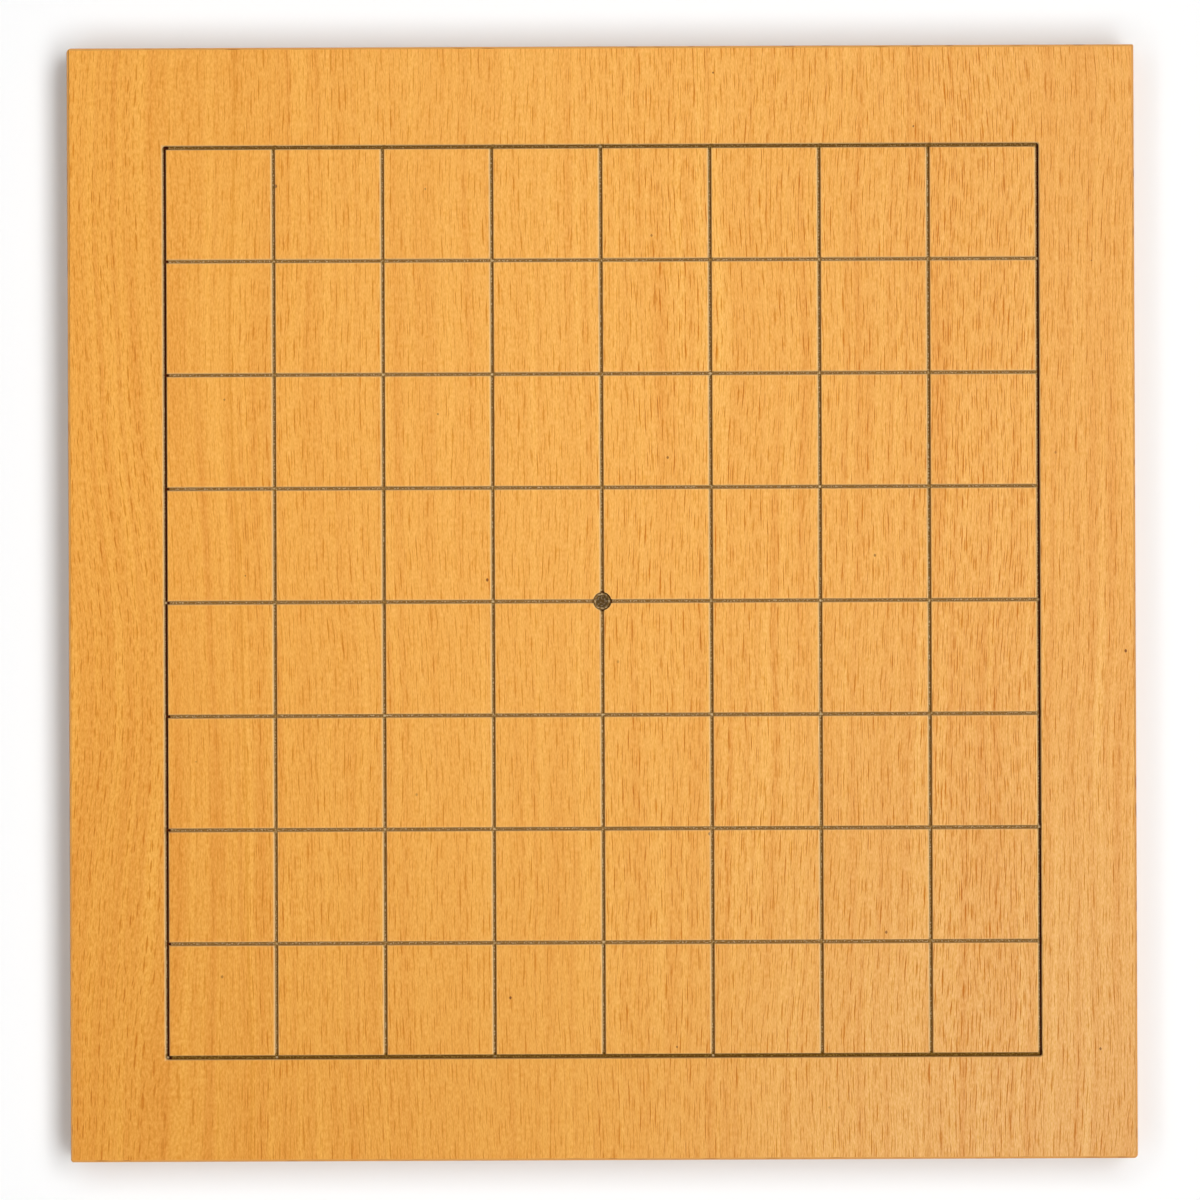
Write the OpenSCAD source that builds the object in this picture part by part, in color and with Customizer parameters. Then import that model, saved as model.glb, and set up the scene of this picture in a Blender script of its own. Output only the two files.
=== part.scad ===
// Go board with nine lines each way: a fibreboard core with beech veneer on both faces
// and all edges. The lines and the centre point are milled through the face veneer with one
// tapered cutter, so the veneer inside the outer lines is left as separate fields.
// X runs across the grain, Y along the grain, Z up. The origin is at the middle of the underside.

/* [Grid] */
// Lines each way, an odd number so that one crossing is at the centre
lines = 9; // [5:2:19]
// Distance between neighbouring lines across the grain
cell_w = 30.7; // [20:0.1:40]
// Distance between neighbouring lines along the grain
cell_l = 32; // [20:0.1:42]

/* [Margins] */
// Left or right edge of the board to the middle of the outer line
margin_side = 27.3; // [10:0.1:60]
// Near edge of the board to the middle of the first line
margin_near = 29.3; // [10:0.1:60]
// Far edge of the board to the middle of the last line
margin_far = 28.1; // [10:0.1:60]

/* [Layers] */
// Thickness of the fibreboard core
core_t = 9; // [4:0.5:30]
// Thickness of the veneer on the playing face
face_t = 0.5; // [0.3:0.1:2]
// Thickness of the veneer on the underside
backing_t = 0.5; // [0.3:0.1:2]
// Thickness of the veneer strips on the edges
strip_t = 0.6; // [0.4:0.1:3]

/* [Grooves] */
// Width of the cutter's flat tip, and so of every groove's floor
tip_w = 0.5; // [0.4:0.1:2]
// Angle between the cutter's side and its axis, by which the grooves widen upwards
taper = 24; // [5:1:30]
// Depth of an inner line in the core, below the veneer
line_bite = 0.3; // [0.1:0.1:2]
// Depth of the four outer lines in the core, below the veneer
frame_bite = 0.5; // [0.1:0.1:2]

/* [Centre point] */
// Diameter of the pocket at the centre crossing, at the playing face
star_d = 5.2; // [3.5:0.1:12]
// Depth of the pocket's ledge in the core, below the veneer
star_bite = 0.4; // [0.1:0.1:2]
// Width of the ledge round the pocket's middle
star_ledge_w = 0.45; // [0.2:0.05:1.2]
// Depth of the pocket's middle below the ledge
star_sink = 0.4; // [0.1:0.1:1.5]

/* [Edges] */
// Radius of the board's four upright corners
corner_r = 0.9; // [0.2:0.1:2]
// Width of the flat that breaks the long edges of the strips
arris = 0.3; // [0.1:0.05:0.5]

/* [Hidden] */
$fn = 48;
veneer_colour = "#eeac57";
backing_colour = "#e6b070";
strip_colour = "#e0a050";
core_colour = "#7c5723";

last = lines - 1;
grid_w = last * cell_w;
grid_l = last * cell_l;
board_w = grid_w + 2 * margin_side;
board_l = margin_near + grid_l + margin_far;
core_top = backing_t + core_t;
board_t = core_top + face_t;
panel_w = board_w - 2 * strip_t;
panel_l = board_l - 2 * strip_t;

// Middle of the grid, which unequal near and far margins move along the board
grid_y = (margin_near - margin_far) / 2;

// Length that a cutter runs past the surface it enters
overrun = 1;
cutter_top = board_t + overrun;

function line_x(i) = i * cell_w - grid_w / 2;
function line_y(j) = grid_y + j * cell_l - grid_l / 2;
function is_outer(i) = i == 0 || i == last;
function line_floor(i) = core_top - (is_outer(i) ? frame_bite : line_bite);
function flare(height) = height * tan(taper);
function row_name(row) = str("face_veneer_row_", row);

// One layer of the panel inside the edge strips
module layer(bottom, thickness) {
    translate([-panel_w / 2, -panel_l / 2, bottom])
        cube([panel_w, panel_l, thickness]);
}

// Right half of the tapered cutter's outline at the depth of line number i
module cutter_half(i) {
    bottom = line_floor(i);
    top_half_w = tip_w / 2 + flare(cutter_top - bottom);
    polygon([[0, bottom], [tip_w / 2, bottom], [top_half_w, cutter_top], [0, cutter_top]]);
}

// Outline of the groove of line number i
module groove_outline(i) {
    cutter_half(i);
    mirror([1, 0])
        cutter_half(i);
}

// Groove of the line at x number i, from the first to the last line across it
module line_along_y(i) {
    translate([line_x(i), line_y(last), 0])
        rotate([90, 0, 0])
            linear_extrude(grid_l)
                groove_outline(i);
}

// Groove of the line at y number j, from the first to the last line across it
module line_along_x(j) {
    translate([line_x(0), line_y(j), 0])
        rotate([90, 0, 90])
            linear_extrude(grid_w)
                groove_outline(j);
}

// The turning cutter's own shape at the four corners of the outer lines
module frame_corners() {
    for (i = [0, last], j = [0, last])
        translate([line_x(i), line_y(j), 0])
            rotate_extrude()
                cutter_half(i);
}

module frame_lines() {
    for (i = [0, last]) line_along_y(i);
    for (j = [0, last]) line_along_x(j);
    frame_corners();
}

module inner_lines() {
    for (i = [1 : last - 1]) line_along_y(i);
    for (j = [1 : last - 1]) line_along_x(j);
}

// Pocket at the centre point: a tapered wall, a round ledge and a deeper middle
module star_pocket() {
    ledge = core_top - star_bite;
    middle = ledge - star_sink;
    ledge_r = star_d / 2 - flare(board_t - ledge);
    translate([0, grid_y, ledge])
        cylinder(r1 = ledge_r, r2 = ledge_r + flare(cutter_top - ledge), h = cutter_top - ledge);
    translate([0, grid_y, middle])
        cylinder(r = ledge_r - star_ledge_w, h = cutter_top - middle);
}

module fibreboard_core() {
    color(core_colour)
        difference() {
            layer(backing_t, core_t);
            frame_lines();
            inner_lines();
            star_pocket();
        }
}

// Upright block over the grid from line first to line second along the board, between two heights
module grid_block(first, second, bottom, top) {
    translate([line_x(0), line_y(first), bottom])
        cube([grid_w, line_y(second) - line_y(first), top - bottom]);
}

module face_veneer_margin() {
    color(veneer_colour)
        difference() {
            layer(core_top, face_t);
            grid_block(0, last, core_top - overrun, cutter_top);
            frame_lines();
        }
}

// The fields between line number row - 1 and line number row
module face_veneer_row(row) {
    color(veneer_colour)
        difference() {
            grid_block(row - 1, row, core_top, board_t);
            for (i = [0 : last]) line_along_y(i);
            for (j = [row - 1, row]) line_along_x(j);
            star_pocket();
        }
}

module backing_veneer() {
    color(backing_colour)
        layer(0, backing_t);
}

// The whole board as a block with rounded upright corners
module rounded_block() {
    translate([-board_w / 2 + corner_r, -board_l / 2, 0])
        cube([board_w - 2 * corner_r, board_l, board_t]);
    translate([-board_w / 2, -board_l / 2 + corner_r, 0])
        cube([board_w, board_l - 2 * corner_r, board_t]);
    for (x = [-1, 1], y = [-1, 1])
        translate([x * (board_w / 2 - corner_r), y * (board_l / 2 - corner_r), 0])
            cylinder(r = corner_r, h = board_t);
}

// Square bar turned on its corner along X, which breaks one long edge
module arris_cutter(length) {
    side = arris * sqrt(2);
    rotate([45, 0, 0])
        cube([length, side, side], center = true);
}

// Cutters for the upper and lower long edges of all four sides
module broken_edges() {
    for (z = [0, board_t]) {
        for (y = [-1, 1])
            translate([0, y * board_l / 2, z])
                arris_cutter(board_w + 2 * overrun);
        for (x = [-1, 1])
            translate([x * board_w / 2, 0, z])
                rotate([0, 0, 90])
                    arris_cutter(board_l + 2 * overrun);
    }
}

// A strip's block, shaped by the board's corners and broken edges
module edge_strip(x, y, width, length) {
    color(strip_colour)
        difference() {
            intersection() {
                translate([x - width / 2, y - length / 2, 0])
                    cube([width, length, board_t]);
                rounded_block();
            }
            broken_edges();
        }
}

// The side strips run the whole length, and the end strips fit between them
module edge_strip_side(side) {
    edge_strip(side * (board_w - strip_t) / 2, 0, strip_t, board_l);
}

module edge_strip_end(end) {
    edge_strip(0, end * (board_l - strip_t) / 2, panel_w, strip_t);
}

module edge_strip_left() {
    edge_strip_side(-1);
}

module edge_strip_right() {
    edge_strip_side(1);
}

module edge_strip_near() {
    edge_strip_end(-1);
}

module edge_strip_far() {
    edge_strip_end(1);
}

fibreboard_core();
face_veneer_margin();
for (row = [1 : last])
    face_veneer_row(row);
backing_veneer();
edge_strip_left();
edge_strip_right();
edge_strip_near();
edge_strip_far();
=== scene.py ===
"""Go board with nine lines each way: beech veneer fields over a milled fibreboard core."""

import math
from contextlib import contextmanager

import bmesh
import bpy
from bpy.props import FloatProperty, FloatVectorProperty, PointerProperty
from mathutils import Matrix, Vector


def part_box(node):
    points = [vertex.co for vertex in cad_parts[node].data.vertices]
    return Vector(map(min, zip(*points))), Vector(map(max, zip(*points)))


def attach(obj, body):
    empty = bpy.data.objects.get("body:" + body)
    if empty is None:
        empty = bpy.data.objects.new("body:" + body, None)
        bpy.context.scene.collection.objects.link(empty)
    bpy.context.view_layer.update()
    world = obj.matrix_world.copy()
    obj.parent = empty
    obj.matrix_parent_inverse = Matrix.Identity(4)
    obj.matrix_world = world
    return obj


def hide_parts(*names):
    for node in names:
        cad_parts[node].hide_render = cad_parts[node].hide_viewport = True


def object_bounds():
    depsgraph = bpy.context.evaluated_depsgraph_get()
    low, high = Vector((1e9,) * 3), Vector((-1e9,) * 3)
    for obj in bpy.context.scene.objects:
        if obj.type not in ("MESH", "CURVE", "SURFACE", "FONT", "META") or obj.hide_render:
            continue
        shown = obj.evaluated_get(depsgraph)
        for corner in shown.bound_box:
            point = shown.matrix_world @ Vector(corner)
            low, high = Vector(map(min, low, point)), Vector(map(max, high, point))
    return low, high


bl_info = {
    "name": "Go Board",
    "version": (1, 0, 0),
    "blender": (4, 5, 0),
    "location": "3D View > Sidebar > Go Board",
    "description": "Models a veneered go board with milled lines, in beech and fibreboard",
    "category": "Object",
}

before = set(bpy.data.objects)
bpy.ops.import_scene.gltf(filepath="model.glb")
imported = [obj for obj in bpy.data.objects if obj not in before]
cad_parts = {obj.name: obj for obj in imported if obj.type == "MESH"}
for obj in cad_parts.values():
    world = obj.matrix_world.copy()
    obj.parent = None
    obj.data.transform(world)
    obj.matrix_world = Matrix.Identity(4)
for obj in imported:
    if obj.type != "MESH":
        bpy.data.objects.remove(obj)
CAD_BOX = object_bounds()
BODY = "root"
MM = 0.001

# Nodes of the frame
CORE_NODE = "fibreboard_core"
MARGIN_NODE = "face_veneer_margin"
BACKING_NODE = "backing_veneer"
ROW_PREFIX = "face_veneer_row_"
STRIP_OUTWARD = {
    "edge_strip_left": Vector((-1, 0, 0)),
    "edge_strip_right": Vector((1, 0, 0)),
    "edge_strip_near": Vector((0, -1, 0)),
    "edge_strip_far": Vector((0, 1, 0)),
}

# How close a point has to be to a plane to count as lying in it
NEAR = 1e-6
# Length that a cutter runs past the surface it enters
OVERRUN = 1 * MM
# A face is flat if its normal points up or down by more than this
FLAT = 0.9
# A face is a wall if its normal points up or down by less than this
WALL = 0.5
# A wall shows if its normal points outward by more than this
OUTWARD = 0.05
# Two walls are square if the dot product of their normals is less than this
SQUARE = 0.01
# Steps in the rounding of an edge, of the margin's inner corners and of the board's corners
EDGE_STEPS = 4
OPENING_STEPS = 8
CORNER_STEPS = 10
# Sides of the round cutter for the centre pocket
CUTTER_SIDES = 96
# Faces that meet at less than this angle are shaded as one surface
SMOOTH_ANGLE = math.radians(40)
# Faces that meet at less than this angle are made one face
FLUSH_ANGLE = math.radians(0.5)
# How far the larger faces decide the shading at an edge, where 50 is neutral
FACE_WEIGHT = 100

# Index of refraction of the lacquer
LACQUER_IOR = 1.48
# Tints by which the colour of a finish is multiplied
BAND_DARK = (0.87, 0.7, 0.5, 1)
BAND_PALE = (1.13, 1.3, 1.5, 1)
THREAD_DARK = (0.84, 0.64, 0.05, 1)
THREAD_PALE = (1.16, 1.36, 1.95, 1)
FLECK_BROWN = (0.68, 0.41, 0, 1)
FLECK_WARM = (1, 1, 0.6, 1)
SPECK_DARK = (0.3, 0.2, 0.1, 1)
# Towards the near end: a darker tone on the left and a painted sheen on the right
NEAR_LEFT_DARKER = (0.88, 0.845, 0.73, 1)
NEAR_RIGHT_SHEEN = (0.914, 1.0, 1.395, 1)
STRIP_DARK = (0.44, 0.36, 0.24, 1)
STRIP_PALE = (1.56, 1.64, 1.76, 1)
STRIP_FLECK = (0.55, 0.40, 0.22, 1)
# Painted shade in the grooves, on the outer lines and on the pocket's wall; the pocket's darker middle is
# partly painted shade
GROOVE_SHADE = (0.55, 0.42, 0.2, 1)
SIDE_LINE_SHADE = (0.2, 0.05, 0, 1)
END_LINE_SHADE = (0.6, 0.5, 0.2, 1)
POCKET_SHADE = (0.1, 0.05, 0.02, 1)
POCKET_WALL_SHADE = (0.22, 0.13, 0.05, 1)
POCKET_MIDDLE = (0.38, 0.38, 0.42, 1)

# Stage, in metres
FLOOR_SIZE = 8
FLOOR_DROP = 0.05 * MM
SOFTBOX_PLACE = Vector((6.14, -0.7, 10.22))
SOFTBOX_SIZE = (15.6, 4.8)
CAMERA_ASIDE = (-0.61 * MM, 0.93 * MM)
# Width of the camera's sensor, in millimetres
SENSOR_WIDTH = 36
# Heights in the sky, from 0 to 1, over which the ring of light fades in from below and from above
RING_LOWER = (0.62, 0.67)
RING_UPPER = (0.79, 0.74)
WHITE = (1, 1, 1, 1)
# Colour of the floor in the light that it gives back to the board
FLOOR_BOUNCE = (0.4, 0.4, 0.4, 1)


def length(name, description, millimetres):
    """A length property with its default in millimetres."""
    return FloatProperty(
        name=name, description=description, default=millimetres * MM, min=0,
        unit="LENGTH", subtype="DISTANCE", precision=5,
    )


def colour(name, description, default):
    """A colour property with a linear default."""
    return FloatVectorProperty(
        name=name, description=description, default=default, size=3, min=0, max=1, subtype="COLOR",
    )


class GoBoardSizes(bpy.types.PropertyGroup):
    """Sizes of the milled and rounded details"""

    tip_width: length("Cutter tip", "Width of every groove's floor", 0.5)
    taper: FloatProperty(
        name="Cutter taper", description="Angle between the cutter's side and its axis",
        default=math.radians(24), min=0, max=math.radians(40), subtype="ANGLE", unit="ROTATION",
    )
    line_bite: length("Inner line depth", "Depth of the inner lines in the core", 0.3)
    frame_bite: length("Outer line depth", "Depth of the outer lines in the core", 0.5)
    star_width: length("Centre point", "Diameter of the centre pocket at the playing face", 5.2)
    star_bite: length("Ledge depth", "Depth of the centre pocket's ledge in the core", 0.4)
    star_ledge: length("Ledge width", "Width of the ledge round the pocket's middle", 0.45)
    star_sink: length("Middle depth", "Depth of the pocket's middle below its ledge", 0.4)
    rim: length("Veneer rim", "Rounding of the veneer along the grooves", 0.1)
    arris: length("Arris", "Rounding of the board's long edges", 0.3)
    corner_far_left: length("Far left corner", "Radius of the sanded far left corner", 1.3)
    corner_far_right: length("Far right corner", "Radius of the sanded far right corner", 0.5)
    corner_near_left: length("Near left corner", "Radius of the sanded near left corner", 0.8)
    corner_near_right: length("Near right corner", "Radius of the sanded near right corner", 1.1)


class GoBoardFinish(bpy.types.PropertyGroup):
    """Colours of the woods"""

    face_left: colour("Face, left", "Lacquered beech at the left edge", (0.859, 0.383, 0.063))
    face_middle: colour("Face, middle", "Lacquered beech in the middle", (0.909, 0.434, 0.089))
    face_right: colour("Face, right", "Lacquered beech at the right edge", (0.863, 0.410, 0.094))
    # A painted highlight along the rims of the grooves, in the colour of bare beech
    rim_highlight: colour("Cut veneer", "Bare beech along the rims of the grooves", (0.93, 0.68, 0.33))
    wall: colour("Walls", "Veneer on the walls of the grooves", (0.95, 0.64, 0.28))
    # Painted shade on the veneer of the walls that face away from the light
    shaded_wall: colour("Scorched walls", "Veneer where the cutter scorched the walls", (0.40, 0.18, 0.03))
    fibre: colour("Fibreboard", "Milled fibreboard", (0.29, 0.155, 0.038))
    # Pale fibres, also used for painted light in the grooves and painted glints at crossings
    fibre_pale_and_light: colour("Torn fibres", "Pale fibres on the milled floors", (0.72, 0.55, 0.31))
    edge: colour("Edge strips", "Lacquered beech strips on the edges", (0.68, 0.315, 0.075))
    backing: colour("Underside", "Thinly lacquered beech on the underside", (0.80, 0.45, 0.17))


class GoBoardStage(bpy.types.PropertyGroup):
    """Camera and light"""

    camera_height: FloatProperty(
        name="Camera height", description="Height of the camera above the floor",
        default=1.1, min=0.3, unit="LENGTH", subtype="DISTANCE",
    )
    lens: FloatProperty(
        name="Lens", description="Focal length of the camera in millimetres", default=116.24, min=20,
    )
    roll: FloatProperty(
        name="Camera roll", description="Turn of the camera about its own axis",
        default=math.radians(-0.237), subtype="ANGLE", unit="ROTATION",
    )
    key_power: FloatProperty(
        name="Key light", description="Power of the softbox on the right",
        default=936, min=0, unit="POWER",
    )
    ring: FloatProperty(
        name="Ring", description="Strength of the ring of light round the camera", default=3.06, min=0,
    )
    fill: FloatProperty(
        name="Fill", description="Strength of the even light from all round", default=0.03, min=0,
    )


# Modelling helpers


def activate(piece):
    """Makes the piece the only selected object and the active one."""
    bpy.ops.object.select_all(action="DESELECT")
    piece.select_set(True)
    bpy.context.view_layer.objects.active = piece


@contextmanager
def editing(piece):
    """Edit mode on one piece."""
    activate(piece)
    bpy.ops.object.mode_set(mode="EDIT")
    yield
    bpy.ops.object.mode_set(mode="OBJECT")


def pick(piece, kind, test):
    """Selects the vertices, edges or faces of the piece in edit mode that pass the test."""
    bpy.ops.mesh.select_mode(type=kind)
    bpy.ops.mesh.select_all(action="DESELECT")
    mesh = bmesh.from_edit_mesh(piece.data)
    elements = {"VERT": mesh.verts, "EDGE": mesh.edges, "FACE": mesh.faces}[kind]
    for element in elements:
        if test(element):
            element.select_set(True)
    mesh.select_flush_mode()
    bmesh.update_edit_mesh(piece.data)


def add_block(low, high):
    """Adds a block between two corners, with its place in its mesh."""
    bpy.ops.object.select_all(action="DESELECT")
    bpy.ops.mesh.primitive_cube_add(size=1, location=(low + high) / 2, scale=high - low)
    bpy.ops.object.transform_apply(location=True, rotation=True, scale=True)
    return bpy.context.object


def add_flared_block(low, high, flare):
    """Adds a block whose top is wider than its bottom by a flare on each side."""
    block = add_block(low, high)
    size = high - low
    with editing(block):
        pick(block, "FACE", lambda face: face.normal.z > FLAT)
        widened = (1 + 2 * flare / size.x, 1 + 2 * flare / size.y, 1)
        bpy.ops.transform.resize(value=widened, center_override=(low + high) / 2)
    return block


def copy_piece(piece, shift):
    """Copies a piece with a mesh of its own and moves the copy."""
    activate(piece)
    bpy.ops.object.duplicate()
    bpy.ops.transform.translate(value=shift)
    bpy.ops.object.transform_apply(location=True, rotation=True, scale=True)
    return bpy.context.object


def apply_modifier(piece, kind, **settings):
    """Adds a modifier with these settings and applies it."""
    activate(piece)
    modifier = piece.modifiers.new(kind.lower(), kind)
    for name, value in settings.items():
        setattr(modifier, name, value)
    bpy.ops.object.modifier_apply(modifier=modifier.name)


def cut(piece, cutter):
    """Takes the cutter's shape out of the piece and removes the cutter."""
    apply_modifier(piece, "BOOLEAN", operation="DIFFERENCE", solver="EXACT", object=cutter)
    bpy.data.objects.remove(cutter)


def round_edges(radius, steps=EDGE_STEPS):
    """Rounds the selected edges in edit mode."""
    bpy.ops.mesh.bevel(offset=radius, segments=steps, affect="EDGES")


def is_rim(edge, level, up=1):
    """True for an edge at a level between a flat face, upper or lower, and a wall."""
    if any(abs(vertex.co.z - level) > NEAR for vertex in edge.verts):
        return False
    flat = [face.normal.z * up > FLAT for face in edge.link_faces]
    return sorted(flat) == [False, True]


def is_upright(edge):
    """True for an edge that runs up and down."""
    return abs(edge.verts[0].co.z - edge.verts[1].co.z) > OVERRUN


def hand_over(piece, name, node, finish):
    """Smooths, names and paints a piece that stands for a node of the frame."""
    activate(piece)
    bpy.ops.object.shade_smooth_by_angle(angle=SMOOTH_ANGLE)
    apply_modifier(piece, "WEIGHTED_NORMAL", keep_sharp=True, weight=FACE_WEIGHT)
    piece.name = piece.data.name = name
    piece.data.materials.clear()
    piece.data.materials.append(finish)
    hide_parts(node)
    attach(piece, BODY)


class Board:
    """Places of the lines and levels of the layers, read from the frame."""

    def __init__(self, sizes):
        self.sizes = sizes
        self.slope = math.tan(sizes.taper)
        self.core_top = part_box(CORE_NODE)[1].z
        self.top = CAD_BOX[1].z
        self.row_nodes = sorted(
            (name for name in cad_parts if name.startswith(ROW_PREFIX)),
            key=lambda name: int(name.removeprefix(ROW_PREFIX)),
        )
        self.count = len(self.row_nodes)
        rows = [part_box(name) for name in self.row_nodes]
        outer = self.half_width(0, self.core_top)
        first, last = rows[0][0], rows[-1][1]
        start = first.x - outer
        self.cell_w = (last.x + outer - start) / self.count
        self.line_x = [start + i * self.cell_w for i in range(self.count + 1)]
        between = [(lower[1].y + upper[0].y) / 2 for lower, upper in zip(rows, rows[1:])]
        self.line_y = [first.y - outer, *between, last.y + outer]
        self.cell_l = self.line_y[2] - self.line_y[1]
        self.centre = Vector((self.line_x[self.count // 2], self.line_y[self.count // 2], 0))

    def bite(self, i):
        """Depth in the core of line number i."""
        return self.sizes.frame_bite if i in (0, self.count) else self.sizes.line_bite

    def half_width(self, i, height):
        """Half the width of groove number i at a height."""
        floor = self.core_top - self.bite(i)
        return self.sizes.tip_width / 2 + (height - floor) * self.slope

    def in_grid(self, point, reach):
        """True for a point over the grid or within a reach of its outer lines."""
        return (
            self.line_x[0] - reach < point.x < self.line_x[-1] + reach
            and self.line_y[0] - reach < point.y < self.line_y[-1] + reach
        )

    def is_floor(self, point, bite):
        """True for a point of the core's top that lies over a groove floor of this depth."""
        reach = self.sizes.tip_width / 2 + NEAR
        if abs(point.z - self.core_top) > NEAR or not self.in_grid(point, reach):
            return False
        hits = [i for i, at in enumerate(self.line_x) if abs(point.x - at) < reach]
        hits += [j for j, at in enumerate(self.line_y) if abs(point.y - at) < reach]
        return bool(hits) and max(self.bite(i) for i in hits) == bite

    def ledge_radius(self):
        """Outer radius of the centre pocket's ledge."""
        depth = self.top - self.core_top + self.sizes.star_bite
        return self.sizes.star_width / 2 - depth * self.slope

    def round_cutter(self, floor, radius, slope):
        """A round cutter over the centre point, from a floor up past the playing face."""
        height = self.top + OVERRUN - floor
        bpy.ops.object.select_all(action="DESELECT")
        bpy.ops.mesh.primitive_cone_add(
            vertices=CUTTER_SIDES, radius1=radius, radius2=radius + height * slope, depth=height,
            location=self.centre + Vector((0, 0, floor + height / 2)),
        )
        return bpy.context.object

    def pocket(self):
        """A cutter for the tapered wall and the ledge of the centre pocket."""
        return self.round_cutter(self.core_top - self.sizes.star_bite, self.ledge_radius(), self.slope)

    def pocket_middle(self):
        """A cutter for the deeper middle of the centre pocket."""
        floor = self.core_top - self.sizes.star_bite - self.sizes.star_sink
        return self.round_cutter(floor, self.ledge_radius() - self.sizes.star_ledge, 0)


def board():
    """The board's places with the sizes set in the sidebar."""
    return Board(bpy.context.scene.go_board_sizes)


# Shader helpers


class Socket:
    """A node's output, which Python arithmetic extends with Math nodes."""

    def __init__(self, finish, output):
        self.finish = finish
        self.output = output

    def sibling(self, name):
        """Another output of the same node."""
        return Socket(self.finish, self.output.node.outputs[name])

    def math(self, operation, *others):
        """A Math node on this value and others."""
        values = dict(enumerate((self, *others)))
        return self.finish.node("ShaderNodeMath", {"operation": operation}, values)

    def __add__(self, other):
        return self.math("ADD", other)

    def __sub__(self, other):
        return self.math("SUBTRACT", other)

    def __mul__(self, other):
        return self.math("MULTIPLY", other)

    def __truediv__(self, other):
        return self.math("DIVIDE", other)

    def __pow__(self, other):
        return self.math("POWER", other)

    def __abs__(self):
        return self.math("ABSOLUTE")

    def __radd__(self, other):
        return self.math("ADD", other)

    def __rmul__(self, other):
        return self.math("MULTIPLY", other)

    def __rsub__(self, other):
        return self.math("MULTIPLY_ADD", -1, other)

    def ramp(self, start, end, low=0, high=1):
        """Goes smoothly from low to high while this value goes from start to end."""
        return self.finish.node(
            "ShaderNodeMapRange", {"interpolation_type": "SMOOTHSTEP"},
            {"Value": self, "From Min": start, "From Max": end, "To Min": low, "To Max": high},
        )


class Finish:
    """A node tree under construction."""

    def __init__(self, tree):
        self.tree = tree
        self.tree.nodes.clear()

    def node(self, kind, settings, sockets, output=0):
        """Adds a node, makes its settings, then fills its sockets with links or values."""
        node = self.tree.nodes.new(kind)
        for name, value in settings.items():
            setattr(node, name, value)
        for key, value in sockets.items():
            if isinstance(value, Socket):
                self.tree.links.new(value.output, node.inputs[key])
            else:
                node.inputs[key].default_value = value
        return Socket(self, node.outputs[output]) if node.outputs else None

    def place(self):
        """Object coordinates in millimetres, as three values."""
        coordinates = self.node("ShaderNodeTexCoord", {}, {}, "Object")
        scaled = self.node(
            "ShaderNodeVectorMath", {"operation": "SCALE"}, {0: coordinates, "Scale": 1 / MM}
        )
        x = self.node("ShaderNodeSeparateXYZ", {}, {0: scaled})
        return x, x.sibling("Y"), x.sibling("Z")

    def vector(self, x, y, z=0):
        """A vector from three values."""
        return self.node("ShaderNodeCombineXYZ", {}, {"X": x, "Y": y, "Z": z})

    def noise(self, across, along, spacing, detail=2, roughness=0.5):
        """Flat noise with blotches of a spacing across and along, about 0 and mostly within 1."""
        vector = self.vector(across * (1 / spacing[0]), along * (1 / spacing[1]))
        value = self.node(
            "ShaderNodeTexNoise", {"noise_dimensions": "2D"},
            {"Vector": vector, "Scale": 1, "Detail": detail, "Roughness": roughness},
        )
        return (value - 0.5) * 4

    def chance(self, track, cell):
        """A random value from 0 to 1 for each pair of whole numbers."""
        return self.node(
            "ShaderNodeTexWhiteNoise", {"noise_dimensions": "2D"}, {"Vector": self.vector(track, cell)}
        )

    def mix(self, factor, first, second):
        """One colour faded into another."""
        return self.node("ShaderNodeMix", {"data_type": "RGBA"}, {0: factor, 6: first, 7: second}, 2)

    def tint(self, colour, tint, factor=1):
        """A colour multiplied by a tint."""
        settings = {"data_type": "RGBA", "blend_type": "MULTIPLY"}
        return self.node("ShaderNodeMix", settings, {0: factor, 6: colour, 7: tint}, 2)

    def surface(self, shader):
        """Ends a material's tree with a surface shader."""
        self.node("ShaderNodeOutputMaterial", {}, {"Surface": shader})

    def lacquered(self, base, roughness, height, depth, gloss=0.3):
        """Ends a material's tree with a lacquered surface whose relief is a depth in millimetres."""
        relief = {"Strength": 1, "Distance": depth * MM, "Height": height}
        sockets = {
            "Base Color": base, "Roughness": roughness, "Normal": self.node("ShaderNodeBump", {}, relief),
            "IOR": LACQUER_IOR, "Specular IOR Level": gloss,
        }
        self.surface(self.node("ShaderNodeBsdfPrincipled", {}, sockets))


def new_material(name):
    """An empty material and its tree."""
    material = bpy.data.materials.new(name)
    material.use_nodes = True
    return material, Finish(material.node_tree)


def rgba(values):
    """A colour property as a socket's value."""
    return (*values, 1)


# Finishes


def line_offset(place, lines):
    """How far a place is past the nearest of some evenly spaced lines, in millimetres, and its number."""
    last = len(lines) - 1
    first, pitch = lines[0] / MM, (lines[-1] - lines[0]) / MM / last
    number = ((place - first) / pitch).math("ROUND").math("MAXIMUM", 0).math("MINIMUM", last)
    return place - first - number * pitch, number


def past_ends(place, lines):
    """Millimetres that a place is outside the outer two of some lines, less than 0 between them."""
    first, last = lines[0] / MM, lines[-1] / MM
    return abs(place - (first + last) / 2) - (last - first) / 2


def from_centre(plan, x, y):
    """Distance from the centre point, in millimetres."""
    return ((x - plan.centre.x / MM) ** 2 + (y - plan.centre.y / MM) ** 2).math("SQRT")


def from_grooves(plan, x, y):
    """Millimetres from the middle of the nearest groove, and a like value round the pocket."""
    aside_x, aside_y = abs(line_offset(x, plan.line_x)[0]), abs(line_offset(y, plan.line_y)[0])
    along_y = aside_x.math("MAXIMUM", past_ends(y, plan.line_y))
    along_x = aside_y.math("MAXIMUM", past_ends(x, plan.line_x))
    pocket = from_centre(plan, x, y) - (plan.sizes.star_width / 2 - plan.half_width(1, plan.top)) / MM
    return along_y.math("MINIMUM", along_x).math("MINIMUM", pocket)


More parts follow.
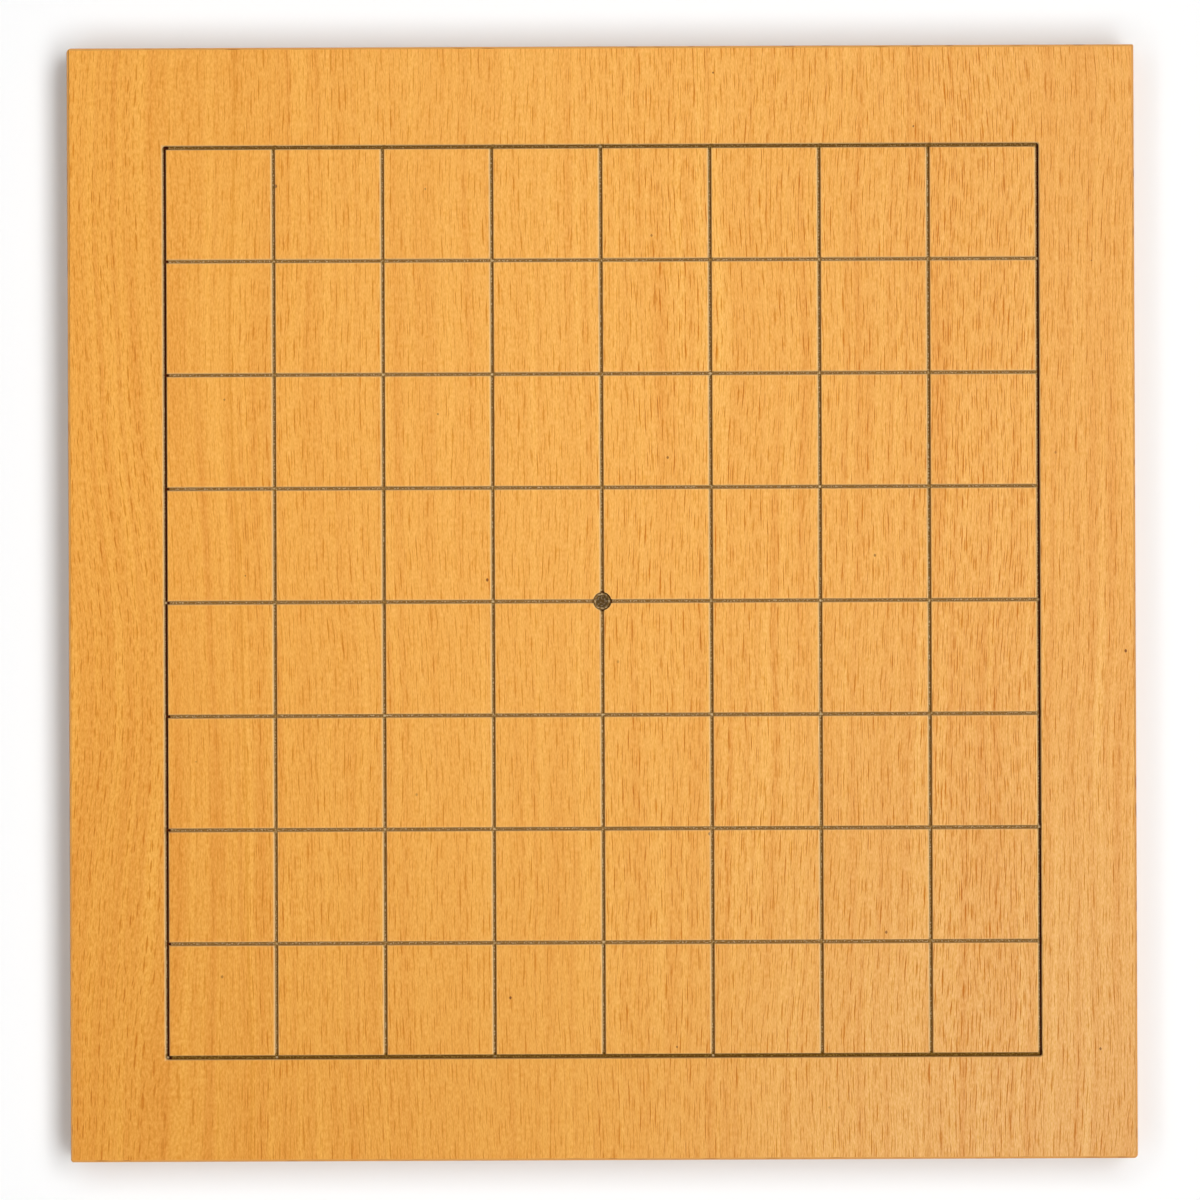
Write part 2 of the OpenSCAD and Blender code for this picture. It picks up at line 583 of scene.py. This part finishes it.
def grain_shift(finish, x, y):
    """How far the grain has wandered sideways at a place, in millimetres.

    Near the left edge it bulges to the right with a knee just below the middle.
    In the rest of the sheet it fans out slightly towards the near end.
    """
    knee = ((y + 8) ** 2 + 40).math("SQRT") * -0.085
    curl = (y - 30).math("MAXIMUM", 0) ** 2 * 0.00053
    bulge = x.ramp(-105, -138) * (knee + curl)
    fan = (x * (1 / 40)).math("TANH") * y.math("SMOOTH_MIN", 60, 40) * 0.022
    waver = finish.noise(x, y, (45, 90), detail=1) * 1.2
    return bulge + fan + waver


def flecks(finish, across, along, spacing, half_width, half_length):
    """Spindle-shaped ray flecks on tracks along the grain, as a mask from 0 to 1.

    Each cell of a track holds one, with a place, size and strength of its own.
    """
    track_at = across * (1 / spacing[0])
    track = track_at.math("FLOOR")
    cell_at = along * (1 / spacing[1]) + finish.chance(track, 0.5) * 17
    cell = cell_at.math("FLOOR")
    chance = finish.chance(track, cell)
    luck = finish.node("ShaderNodeSeparateColor", {}, {0: chance.sibling("Color")})
    aside = track_at - track - 0.5 - (luck - 0.5) * 0.6
    beyond = cell_at - cell - 0.5 - (luck.sibling("Green") - 0.5) * 0.25
    width = half_width * (0.7 + 0.6 * luck.sibling("Blue"))
    reach = half_length * (0.6 + 0.7 * luck.sibling("Blue"))
    sideways = abs(aside) * spacing[0] / width
    lengthways = (beyond * spacing[1] / reach) ** 2
    spindle = (1 - sideways - lengthways).ramp(0, 0.35)
    return spindle * chance.ramp(0, 0.8, 0.3, 1)


def sheet_colour(finish, colours, x):
    """Colour of the face without its figure, which changes slowly from left to right."""
    tone = finish.mix(x.ramp(-150, 10), rgba(colours.face_left), rgba(colours.face_middle))
    return finish.mix(x.ramp(-10, 150), tone, rgba(colours.face_right))


def beech_bands(finish, x, y, across):
    """Long bands along the grain, about 0, weakest a little left of the middle."""
    bands = finish.noise(across, y, (4.2, 250), detail=1) * 0.065
    bands = bands + finish.noise(across + 31, y, (2.3, 130), detail=1) * 0.14
    return bands * abs(x + 30).ramp(15, 60, 0.85, 1.25)


def beech_marks(finish, plan, x, y, across, spread, strength):
    """Mask of the face's flecks and streaks."""
    streaks = finish.noise(spread + 19, y, (0.6, 8), detail=2, roughness=0.6).ramp(0.4, 1.2)
    # The flecks in the left margin are shorter than elsewhere
    along = y * (1 + 0.6 * x.math("LESS_THAN", plan.line_x[0] / MM))
    large = flecks(finish, spread, along, (1.6, 11), 0.16, 4.0)
    small = flecks(finish, spread + 37, along + 11, (1.05, 7.5), 0.14, 2.8)
    marks = (large * 0.9).math("MAXIMUM", small * 0.6).math("MAXIMUM", streaks * 0.2)
    # The left column of fields is mostly calm, with one streak from end to end
    calm = across.ramp(-125, -119) * across.ramp(-99, -106)
    marks = marks * strength * (1 - calm * 0.4)
    return marks.math("MAXIMUM", abs(across + 102).ramp(0.7, 0) * 0.35)


def veneer_walls(finish, plan, colours, x, y):
    """Colour of the veneer on the walls of the grooves and of the pocket, with painted shade on the walls
    that face away from the light.
    """
    # The right walls of the lines along the grain face away from the light and get painted shade, those
    # of the outer two less
    aside = line_offset(x, plan.line_x)[0]
    outer = past_ends(x, plan.line_x).ramp(-1.2, -1)
    most = 0.75 - outer * x.ramp(-110, 110, 0.25, 0.55)
    groove_shade = aside.ramp(0, 0.2) * aside.ramp(1.1, 0.9) * most
    # Both walls of the lines across the grain get painted shade, more towards the near end
    crossing = abs(line_offset(y, plan.line_y)[0]).ramp(1.1, 0.9)
    groove_shade = groove_shade.math("MAXIMUM", crossing * y.ramp(110, -110, 0.2, 0.65))
    walls = finish.mix(groove_shade, rgba(colours.wall), rgba(colours.shaded_wall))
    # The pocket's wall gets painted shade, most on the right, away from the light
    pocket_shade = from_centre(plan, x, y).ramp(3, 2.7) * x.ramp(-2, 1, 0.7, 1)
    return finish.tint(walls, POCKET_SHADE, pocket_shade)


def beech_face(plan, colours):
    """Lacquered beech on the playing face: one sheet whose figure runs on across the grooves."""
    material, finish = new_material("beech_face")
    x, y, z = finish.place()
    across = x - grain_shift(finish, x, y)
    across = across + finish.noise(x, y, (3, 8), detail=1) * 0.1
    across = across + finish.noise(x, y, (0.8, 2.5), detail=1) * 0.03
    spread = across + across ** 2 * 0.0006
    # The figure is weaker on the left half, and strongest in the right column of fields
    strength = x.ramp(-12, 12, 0.83, 1.17) + x.ramp(82, 100, 0, 0.5) - x.ramp(119, 126, 0, 0.58)
    # The lengths added to a coordinate only keep the patterns apart
    fibres = finish.noise(spread, y, (0.5, 30), detail=3, roughness=0.6)
    strands = finish.noise(spread + 53, y, (0.42, 4.5), detail=2, roughness=0.6)
    pores = finish.noise(spread + 70, y, (0.3, 1.2), detail=1)
    threads = (fibres * 0.04 + strands * 0.1) * strength + pores * 0.19
    bands = beech_bands(finish, x, y, across)
    marks = beech_marks(finish, plan, x, y, across, spread, strength)
    specks = flecks(finish, x + 13, y + 29, (60, 55), 0.35, 0.45)
    tone = sheet_colour(finish, colours, x)
    tone = finish.tint(tone, finish.mix(bands + 0.5, BAND_DARK, BAND_PALE))
    tone = finish.tint(tone, finish.mix(threads + 0.5, THREAD_DARK, THREAD_PALE))
    tone = finish.tint(tone, FLECK_BROWN, marks)
    tone = finish.tint(tone, FLECK_WARM, marks)
    tone = finish.tint(tone, SPECK_DARK, specks)
    # Towards the near end the sheet turns darker on the left, and on the right a painted sheen makes it
    # cooler
    near_tone_and_sheen = finish.mix(x.ramp(-20, 110), NEAR_LEFT_DARKER, NEAR_RIGHT_SHEEN)
    tone = finish.tint(tone, near_tone_and_sheen, y.ramp(60, -200))
    # The rims of the grooves get a painted highlight in the colour of bare wood, most on the left of the
    # lines along the grain, the side that faces the light
    aside = line_offset(x, plan.line_x)[0]
    lit_lip = aside.ramp(-1.1, -0.8) * aside.ramp(-0.3, -0.5)
    rim = from_grooves(plan, x, y).ramp(1.0, 0.6)
    tone = finish.mix(rim * (0.2 + lit_lip * 0.3), tone, rgba(colours.rim_highlight))
    wall = z.ramp(plan.top / MM - 0.06, plan.top / MM - 0.14)
    tone = finish.mix(wall, tone, veneer_walls(finish, plan, colours, x, y))
    finish.lacquered(tone, fibres * 0.02 + wall * 0.2 + 0.42, fibres * 0.2 - marks, 0.006)
    return material


def plain_beech(name, colour, axis, seed):
    """Lacquered beech whose figure runs along the X or Y axis, and starts at a seed of its own."""
    material, finish = new_material(name)
    x, y, z = finish.place()
    along, across = (x, y) if axis == "X" else (y, x)
    across = across + z * 1.3 + seed
    across = across + finish.noise(along, across, (60, 8), detail=1) * 0.4
    bands = finish.noise(across, along, (1.6, 190))
    fibres = finish.noise(across, along, (0.3, 14), roughness=0.6)
    marks = flecks(finish, across, along, (0.8, 9), 0.14, 2.2)
    shade = bands * 0.03 + fibres * 0.035 + 0.5
    tone = finish.tint(rgba(colour), finish.mix(shade, STRIP_DARK, STRIP_PALE))
    tone = finish.tint(tone, STRIP_FLECK, marks * 0.8)
    finish.lacquered(tone, fibres * 0.02 + 0.45, fibres * 0.2 - marks, 0.015)
    return material


def fibreboard(plan, colours):
    """Milled fibreboard: pale torn fibres on the floors, darker walls, painted light and shade in the
    grooves and a pale ledge in the pocket.
    """
    material, finish = new_material("fibreboard")
    x, y, z = finish.place()
    pale = rgba(colours.fibre_pale_and_light)
    core_top = plan.core_top / MM
    fine = finish.noise(x, y, (0.35, 0.35), detail=3, roughness=0.65)
    torn = finish.noise(x + 40, y, (0.45, 0.45), detail=2).ramp(0.1, 0.65)
    wall = z.ramp(core_top - 0.29, core_top - 0.2)
    aside_x, number_x = line_offset(x, plan.line_x)
    aside_y, number_y = line_offset(y, plan.line_y)
    out = from_centre(plan, x, y)
    ledge_out = plan.ledge_radius() / MM
    ledge_in = ledge_out - plan.sizes.star_ledge / MM
    inside = out.ramp(ledge_out + 0.15, ledge_out)
    speckle = fine * 0.3 + 1
    tone = finish.tint(rgba(colours.fibre), finish.vector(speckle, speckle, speckle))
    tone = finish.mix(torn * (0.8 - wall * 0.6), tone, pale)
    # The lines along the grain get painted shade on the right, away from the light, and painted light on
    # the left, but not at a crossing or in the pocket
    plain = abs(aside_y).ramp(0.3, 0.7) * (1 - inside)
    groove_shade = aside_x.ramp(0, 0.2) * aside_x.ramp(1.1, 0.9)
    tone = finish.tint(tone, GROOVE_SHADE, groove_shade * plain)
    lit = aside_x.ramp(-0.2, -0.33) * aside_x.ramp(-1.1, -0.9)
    tone = finish.mix(lit * plain * 0.35, tone, pale)
    # The two outer lines along the grain are deeper and get painted shade, the right one in a narrower
    # stripe
    stripe = (aside_x - x.ramp(-110, 110, 0, 0.11)).ramp(-0.33, -0.06)
    outer_line_shade = past_ends(x, plan.line_x).ramp(-1.2, -1) * stripe
    tone = finish.tint(tone, SIDE_LINE_SHADE, outer_line_shade)
    # The two outer lines across the grain get less painted shade, the near one most
    outer_line_shade = past_ends(y, plan.line_y).ramp(-1.2, -1) * y.ramp(110, -110, 0.7, 1)
    tone = finish.tint(tone, END_LINE_SHADE, outer_line_shade)
    # Some crossings get a painted glint, a pale spot in the colour of pale fibres
    middle = abs(aside_x).math("MAXIMUM", abs(aside_y)).ramp(0.4, 0.2)
    crossing_glint = finish.chance(number_x, number_y).ramp(0.55, 0.75) * middle
    tone = finish.mix(crossing_glint * 0.7, tone, pale)
    # The pocket has a dark middle, partly painted shade in its deep floor and partly its rougher milling,
    # and a paler ledge, palest where the lines enter
    ledge = out.ramp(ledge_in - 0.06, ledge_in + 0.06) * inside
    entry = abs(aside_x).math("MINIMUM", abs(aside_y)).ramp(0.5, 0.2)
    tone = finish.tint(tone, POCKET_MIDDLE, inside - ledge * 0.7)
    tone = finish.mix(ledge * entry * 0.4, tone, pale)
    # Painted shade on the pocket's fibreboard wall, most on the right, away from the light
    shade = out.ramp(ledge_out, ledge_out + 0.1) * out.ramp(3, 2.8) * x.ramp(-2, 1, 0.6, 1)
    tone = finish.tint(tone, POCKET_WALL_SHADE, shade)
    finish.lacquered(tone, 0.75 - torn * 0.2, fine + torn, 0.04, gloss=0.08)
    return material


# Pieces


class GOBOARD_OT_fibreboard_core(bpy.types.Operator):
    """Mill the lines and the centre pocket into the fibreboard core"""

    bl_idname = "goboard.fibreboard_core"
    bl_label = "Fibreboard Core"
    bl_options = {"REGISTER", "UNDO"}

    def execute(self, context):
        plan = board()
        core = add_block(*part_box(CORE_NODE))
        with editing(core):
            self.score(plan, Vector((1, 0, 0)), plan.line_x)
            self.score(plan, Vector((0, 1, 0)), plan.line_y)
            for bite in (plan.sizes.line_bite, plan.sizes.frame_bite):
                pick(core, "VERT", lambda vertex: plan.is_floor(vertex.co, bite))
                bpy.ops.transform.translate(value=(0, 0, -bite))
            bpy.ops.mesh.select_all(action="SELECT")
            bpy.ops.mesh.dissolve_limited(angle_limit=FLUSH_ANGLE)
        cut(core, plan.pocket())
        cut(core, plan.pocket_middle())
        finish = fibreboard(plan, context.scene.go_board_finish)
        hand_over(core, "milled_core", CORE_NODE, finish)
        return {"FINISHED"}

    def score(self, plan, axis, lines):
        """Cuts the mesh in edit mode along both shoulders and both floor edges of every line."""
        for i, at in enumerate(lines):
            shoulder = plan.half_width(i, plan.core_top)
            foot = plan.sizes.tip_width / 2
            for offset in (-shoulder, -foot, foot, shoulder):
                bpy.ops.mesh.select_all(action="SELECT")
                bpy.ops.mesh.bisect(plane_co=axis * (at + offset), plane_no=axis)


class GOBOARD_OT_veneer_margin(bpy.types.Operator):
    """Cut the field's opening out of the margin's sheet of veneer"""

    bl_idname = "goboard.veneer_margin"
    bl_label = "Veneer Margin"
    bl_options = {"REGISTER", "UNDO"}

    def execute(self, context):
        plan = board()
        sheet = add_block(*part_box(MARGIN_NODE))
        bottom, top = plan.core_top - OVERRUN, plan.top + OVERRUN
        reach = plan.half_width(0, bottom)
        low = Vector((plan.line_x[0] - reach, plan.line_y[0] - reach, bottom))
        high = Vector((plan.line_x[-1] + reach, plan.line_y[-1] + reach, top))
        opening = add_flared_block(low, high, (top - bottom) * plan.slope)
        with editing(opening):
            pick(opening, "EDGE", is_upright)
            round_edges(plan.half_width(0, plan.top), OPENING_STEPS)
        cut(sheet, opening)
        reach = 2 * plan.half_width(0, plan.top)
        with editing(sheet):
            pick(sheet, "EDGE", lambda edge: (
                is_rim(edge, plan.top) and plan.in_grid(edge.verts[0].co, reach)
            ))
            round_edges(plan.sizes.rim)
        finish = beech_face(plan, context.scene.go_board_finish)
        hand_over(sheet, "veneer_margin", MARGIN_NODE, finish)
        return {"FINISHED"}


class GOBOARD_OT_veneer_fields(bpy.types.Operator):
    """Model one veneer field and repeat it in rows between the grooves"""

    bl_idname = "goboard.veneer_fields"
    bl_label = "Veneer Fields"
    bl_options = {"REGISTER", "UNDO"}

    def execute(self, context):
        plan = board()
        finish = bpy.data.materials["beech_face"]
        pattern = self.model_row(plan)
        middle = plan.count // 2
        for j, node in enumerate(plan.row_nodes):
            row = copy_piece(pattern, Vector((0, j * plan.cell_l, 0)))
            if j == 0:
                near = plan.line_y[0] + plan.cell_l / 2
                self.draw_back(row, plan, lambda point: point.y < near, (0, 1, 0))
            if j == plan.count - 1:
                far = plan.line_y[-1] - plan.cell_l / 2
                self.draw_back(row, plan, lambda point: point.y > far, (0, -1, 0))
            if j in (middle - 1, middle):
                cut(row, plan.pocket())
            with editing(row):
                pick(row, "EDGE", lambda edge: is_rim(edge, plan.top))
                round_edges(plan.sizes.rim)
            hand_over(row, f"veneer_fields_{j + 1}", node, finish)
        bpy.data.objects.remove(pattern)
        return {"FINISHED"}

    def model_row(self, plan):
        """The first row of fields, with its ends drawn back from the wider outer lines."""
        shoulder = plan.half_width(1, plan.core_top)
        low = Vector((plan.line_x[0] + shoulder, plan.line_y[0] + shoulder, plan.core_top))
        high = Vector((plan.line_x[1] - shoulder, plan.line_y[0] + plan.cell_l - shoulder, plan.top))
        row = add_flared_block(low, high, -(plan.top - plan.core_top) * plan.slope)
        apply_modifier(
            row, "ARRAY", count=plan.count, use_relative_offset=False, use_constant_offset=True,
            constant_offset_displace=(plan.cell_w, 0, 0),
        )
        left, right = plan.line_x[0] + plan.cell_w / 2, plan.line_x[-1] - plan.cell_w / 2
        self.draw_back(row, plan, lambda point: point.x < left, (1, 0, 0))
        self.draw_back(row, plan, lambda point: point.x > right, (-1, 0, 0))
        return row

    def draw_back(self, row, plan, is_end, inward):
        """Moves the end walls of a row inward by what an outer line is wider than an inner one."""
        excess = plan.half_width(0, plan.top) - plan.half_width(1, plan.top)
        with editing(row):
            pick(row, "VERT", lambda vertex: is_end(vertex.co))
            bpy.ops.transform.translate(value=Vector(inward) * excess)


class GOBOARD_OT_edge_strips(bpy.types.Operator):
    """Model the four veneer strips on the edges, with rounded corners and arrises"""

    bl_idname = "goboard.edge_strips"
    bl_label = "Edge Strips"
    bl_options = {"REGISTER", "UNDO"}

    def execute(self, context):
        sizes = context.scene.go_board_sizes
        colours = context.scene.go_board_finish
        side_beech = plain_beech("beech_side_strip", colours.edge, axis="Y", seed=0)
        end_beech = plain_beech("beech_end_strip", colours.edge, axis="X", seed=50)
        outline = self.model_outline(sizes)
        for node, outward in STRIP_OUTWARD.items():
            low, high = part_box(node)
            strip = add_block(low, high)
            apply_modifier(strip, "BOOLEAN", operation="INTERSECT", solver="EXACT", object=outline)
            with editing(strip):
                pick(strip, "EDGE", lambda edge: self.shows(edge, outward) and (
                    is_rim(edge, low.z, -1) or is_rim(edge, high.z)
                ))
                round_edges(sizes.arris)
            name = node.replace("edge_strip", "beech_strip")
            hand_over(strip, name, node, side_beech if outward.x else end_beech)
        bpy.data.objects.remove(outline)
        return {"FINISHED"}

    def model_outline(self, sizes):
        """A block as large as the board, with its upright corners rounded."""
        low, high = CAD_BOX
        outline = add_block(low - Vector((0, 0, OVERRUN)), high + Vector((0, 0, OVERRUN)))
        radii = {
            (-1, 1): sizes.corner_far_left, (1, 1): sizes.corner_far_right,
            (-1, -1): sizes.corner_near_left, (1, -1): sizes.corner_near_right,
        }
        for side, radius in radii.items():
            with editing(outline):
                pick(outline, "EDGE", lambda edge: is_upright(edge) and self.is_corner(edge, side))
                round_edges(radius, CORNER_STEPS)
        return outline

    def is_corner(self, edge, side):
        """True for an edge at the corner on this side of the middle that is still square."""
        walls = [face.normal for face in edge.link_faces]
        square = abs(walls[0].dot(walls[1])) < SQUARE
        return square and all(
            vertex.co.x * side[0] > 0 and vertex.co.y * side[1] > 0 for vertex in edge.verts
        )

    def shows(self, edge, outward):
        """True if a wall at an edge isn't the one against the panel or a neighbour."""
        walls = [face.normal for face in edge.link_faces if abs(face.normal.z) < WALL]
        return any(normal.dot(outward) > OUTWARD for normal in walls)


class GOBOARD_OT_backing_veneer(bpy.types.Operator):
    """Finish the flat veneer sheet on the underside"""

    bl_idname = "goboard.backing_veneer"
    bl_label = "Backing Veneer"
    bl_options = {"REGISTER", "UNDO"}

    def execute(self, context):
        colours = context.scene.go_board_finish
        finish = plain_beech("beech_backing", colours.backing, axis="Y", seed=90)
        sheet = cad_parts[BACKING_NODE]
        sheet.data.materials.clear()
        sheet.data.materials.append(finish)
        return {"FINISHED"}


class GOBOARD_OT_stage(bpy.types.Operator):
    """Set up the floor, the light and the camera"""

    bl_idname = "goboard.stage"
    bl_label = "Stage"
    bl_options = {"REGISTER", "UNDO"}

    def execute(self, context):
        stage = context.scene.go_board_stage
        bpy.ops.object.select_all(action="DESELECT")
        bpy.ops.mesh.primitive_plane_add(size=FLOOR_SIZE, location=(0, 0, -FLOOR_DROP))
        floor = context.object
        floor.name = "floor"
        floor.data.materials.append(self.white_floor())
        self.add_softbox("key_light", SOFTBOX_PLACE, SOFTBOX_SIZE, stage.key_power)
        self.light_all_round(context.scene, stage)
        place = (*CAMERA_ASIDE, stage.camera_height)
        bpy.ops.object.camera_add(location=place, rotation=(0, 0, stage.roll))
        camera = context.object
        camera.data.sensor_width = SENSOR_WIDTH
        camera.data.lens = stage.lens
        context.scene.camera = camera
        context.scene.view_settings.view_transform = "Standard"
        return {"FINISHED"}

    def add_softbox(self, name, place, size, power):
        """A light of a width and height that faces the board."""
        facing = place.to_track_quat("Z", "Y").to_euler()
        bpy.ops.object.light_add(type="AREA", location=place, rotation=facing)
        light = bpy.context.object
        light.name = name
        light.visible_camera = False
        light.data.shape = "RECTANGLE"
        light.data.size, light.data.size_y = size
        light.data.energy = power

    def light_all_round(self, scene, stage):
        """White light from all round and from a ring overhead, and a plain white background."""
        scene.world = bpy.data.worlds.new("studio")
        scene.world.use_nodes = True
        sky = Finish(scene.world.node_tree)
        direction = sky.node("ShaderNodeTexCoord", {}, {}, "Generated")
        height = sky.node("ShaderNodeSeparateXYZ", {}, {0: direction}, "Z")
        strength = height.ramp(*RING_LOWER) * height.ramp(*RING_UPPER) * stage.ring + stage.fill
        seen = self.seen_directly(sky)
        shown = strength * (1 - seen) + seen
        light = sky.node("ShaderNodeBackground", {}, {"Color": WHITE, "Strength": shown})
        sky.node("ShaderNodeOutputWorld", {}, {"Surface": light})

    def white_floor(self):
        """A matt floor that shows white and takes shadows."""
        material, finish = new_material("white_floor")
        seen = self.seen_directly(finish)
        paint = finish.mix(seen, FLOOR_BOUNCE, WHITE)
        finish.surface(finish.node("ShaderNodeBsdfDiffuse", {}, {"Color": paint}))
        return material

    def seen_directly(self, finish):
        """1 for rays from the camera, a mirror or glass, otherwise 0."""
        camera = finish.node("ShaderNodeLightPath", {}, {}, "Is Camera Ray")
        mirrored = camera.math("MAXIMUM", camera.sibling("Is Glossy Ray"))
        return mirrored.math("MAXIMUM", camera.sibling("Is Transmission Ray"))


OPERATORS = (
    GOBOARD_OT_fibreboard_core,
    GOBOARD_OT_veneer_margin,
    GOBOARD_OT_veneer_fields,
    GOBOARD_OT_edge_strips,
    GOBOARD_OT_backing_veneer,
    GOBOARD_OT_stage,
)


class GOBOARD_PT_sidebar(bpy.types.Panel):
    """Lists the board's settings and pieces"""

    bl_idname = "GOBOARD_PT_sidebar"
    bl_label = "Go Board"
    bl_space_type = "VIEW_3D"
    bl_region_type = "UI"
    bl_category = "Go Board"

    def draw(self, context):
        scene = context.scene
        for group in (scene.go_board_sizes, scene.go_board_finish, scene.go_board_stage):
            box = self.layout.box()
            for name in group.__annotations__:
                box.prop(group, name)
        for operator in OPERATORS:
            self.layout.operator(operator.bl_idname)


CLASSES = (GoBoardSizes, GoBoardFinish, GoBoardStage, *OPERATORS, GOBOARD_PT_sidebar)


def register():
    """Adds the classes and their settings."""
    for cls in CLASSES:
        bpy.utils.register_class(cls)
    bpy.types.Scene.go_board_sizes = PointerProperty(type=GoBoardSizes)
    bpy.types.Scene.go_board_finish = PointerProperty(type=GoBoardFinish)
    bpy.types.Scene.go_board_stage = PointerProperty(type=GoBoardStage)


def unregister():
    """Removes the settings and the classes."""
    del bpy.types.Scene.go_board_stage
    del bpy.types.Scene.go_board_finish
    del bpy.types.Scene.go_board_sizes
    for cls in reversed(CLASSES):
        bpy.utils.unregister_class(cls)


def main():
    """Registers the add-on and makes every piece."""
    register()
    bpy.ops.goboard.fibreboard_core()
    bpy.ops.goboard.veneer_margin()
    bpy.ops.goboard.veneer_fields()
    bpy.ops.goboard.edge_strips()
    bpy.ops.goboard.backing_veneer()
    bpy.ops.goboard.stage()


if __name__ == "__main__":
    main()
